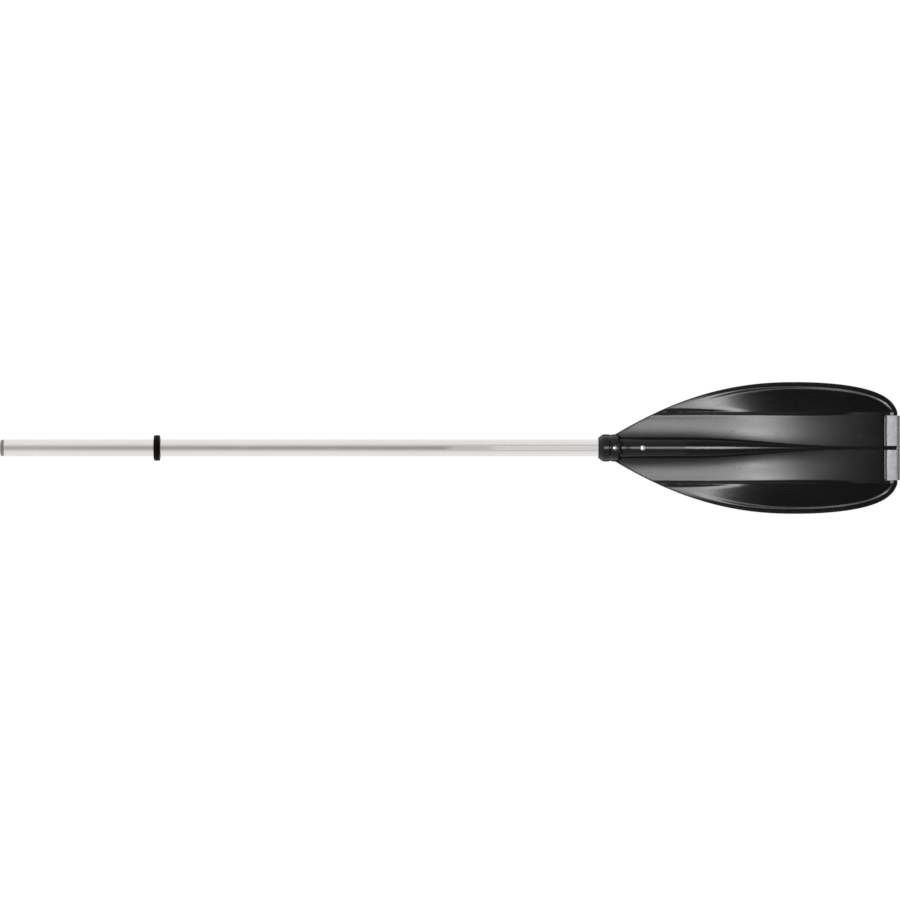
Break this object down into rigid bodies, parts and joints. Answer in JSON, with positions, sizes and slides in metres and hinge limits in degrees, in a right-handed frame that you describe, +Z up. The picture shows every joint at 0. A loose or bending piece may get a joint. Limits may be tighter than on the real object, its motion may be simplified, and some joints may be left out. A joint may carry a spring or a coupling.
{
  "type": "rowing oar",
  "caption": "Rowing oar with an aluminium tube shaft, a moulded black spoon blade, a riveted socket, a folded metal tip guard and a sliding rubber stop ring.",
  "frame": {"origin": "on the shaft's axis, at the face of the stop ring that an oarlock bears on", "axes": "+X along the shaft towards the blade's tip, +Y across the blade, +Z up out of the blade's back, so that the oar lies flat with its hollow face down"},
  "size_m": [1.302, 0.191, 0.0393],
  "materials": {
    "shaft_aluminium": "drawn and anodised, satin",
    "plug_plastic": "moulded polyethylene",
    "bung_plastic": "moulded polyethylene",
    "ring_rubber": "moulded rubber, matt",
    "blade_plastic": "moulded polypropylene, semi-gloss",
    "rivet_aluminium": "bright, upset",
    "stem_steel": "zinc plated, broken end",
    "guard_aluminium": "satin strip, folded"
  },
  "bodies": {
    "oar": {"shaft_tube": "shaft_aluminium", "handle_plug": "plug_plastic", "shaft_bung": "bung_plastic", "blade": "blade_plastic", "rivet_front": "rivet_aluminium", "rivet_rear": "rivet_aluminium", "mandrel_front": "stem_steel", "mandrel_rear": "stem_steel", "tip_guard": "guard_aluminium"},
    "ring": {"stop_ring": "ring_rubber"}
  },
  "joints": [
    {"name": "ring_slide", "type": "slide", "parent": "oar", "child": "ring", "axis": [1, 0, 0], "range_m": [-0.215, 0.632]}
  ]
}
